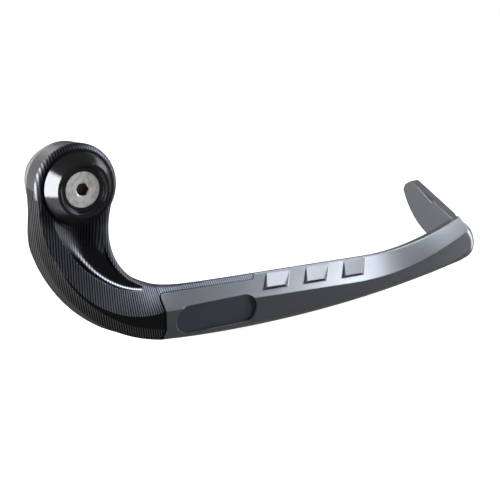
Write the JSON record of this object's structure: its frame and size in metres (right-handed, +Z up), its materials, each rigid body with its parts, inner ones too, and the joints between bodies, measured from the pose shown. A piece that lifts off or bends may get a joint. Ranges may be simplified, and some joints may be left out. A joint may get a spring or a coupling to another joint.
{
  "type": "brake lever guard",
  "caption": "Curved motorbike brake lever guard: a milled arm clamped to the bar end by a socket screw, carrying a moulded plastic blade with bevel pads and a return fin.",
  "frame": {"origin": "centre of the collar's back face, which seats on the handlebar's end, on the screw axis", "axes": "+Y along the screw into the handlebar, +X along the blade towards its tip, +Z up from the blade to the screw"},
  "size_m": [0.2017, 0.0446, 0.0783],
  "materials": {
    "anodised_arm": "black anodised, milled",
    "turned_black": "black anodised, turned smooth",
    "collar_grey": "dark grey anodised, turned",
    "screw_steel": "plain stainless",
    "guard_plastic": "satin moulded",
    "badge_plastic": "matte",
    "insert_brass": "plain"
  },
  "bodies": {
    "root": {"arm": "anodised_arm", "cup_washer": "turned_black", "bar_end_collar": "collar_grey", "bar_end_screw": "screw_steel", "guard_blade": "guard_plastic", "badge_inlay": "badge_plastic", "guard_screws": "screw_steel", "thread_inserts": "insert_brass"}
  },
  "joints": []
}
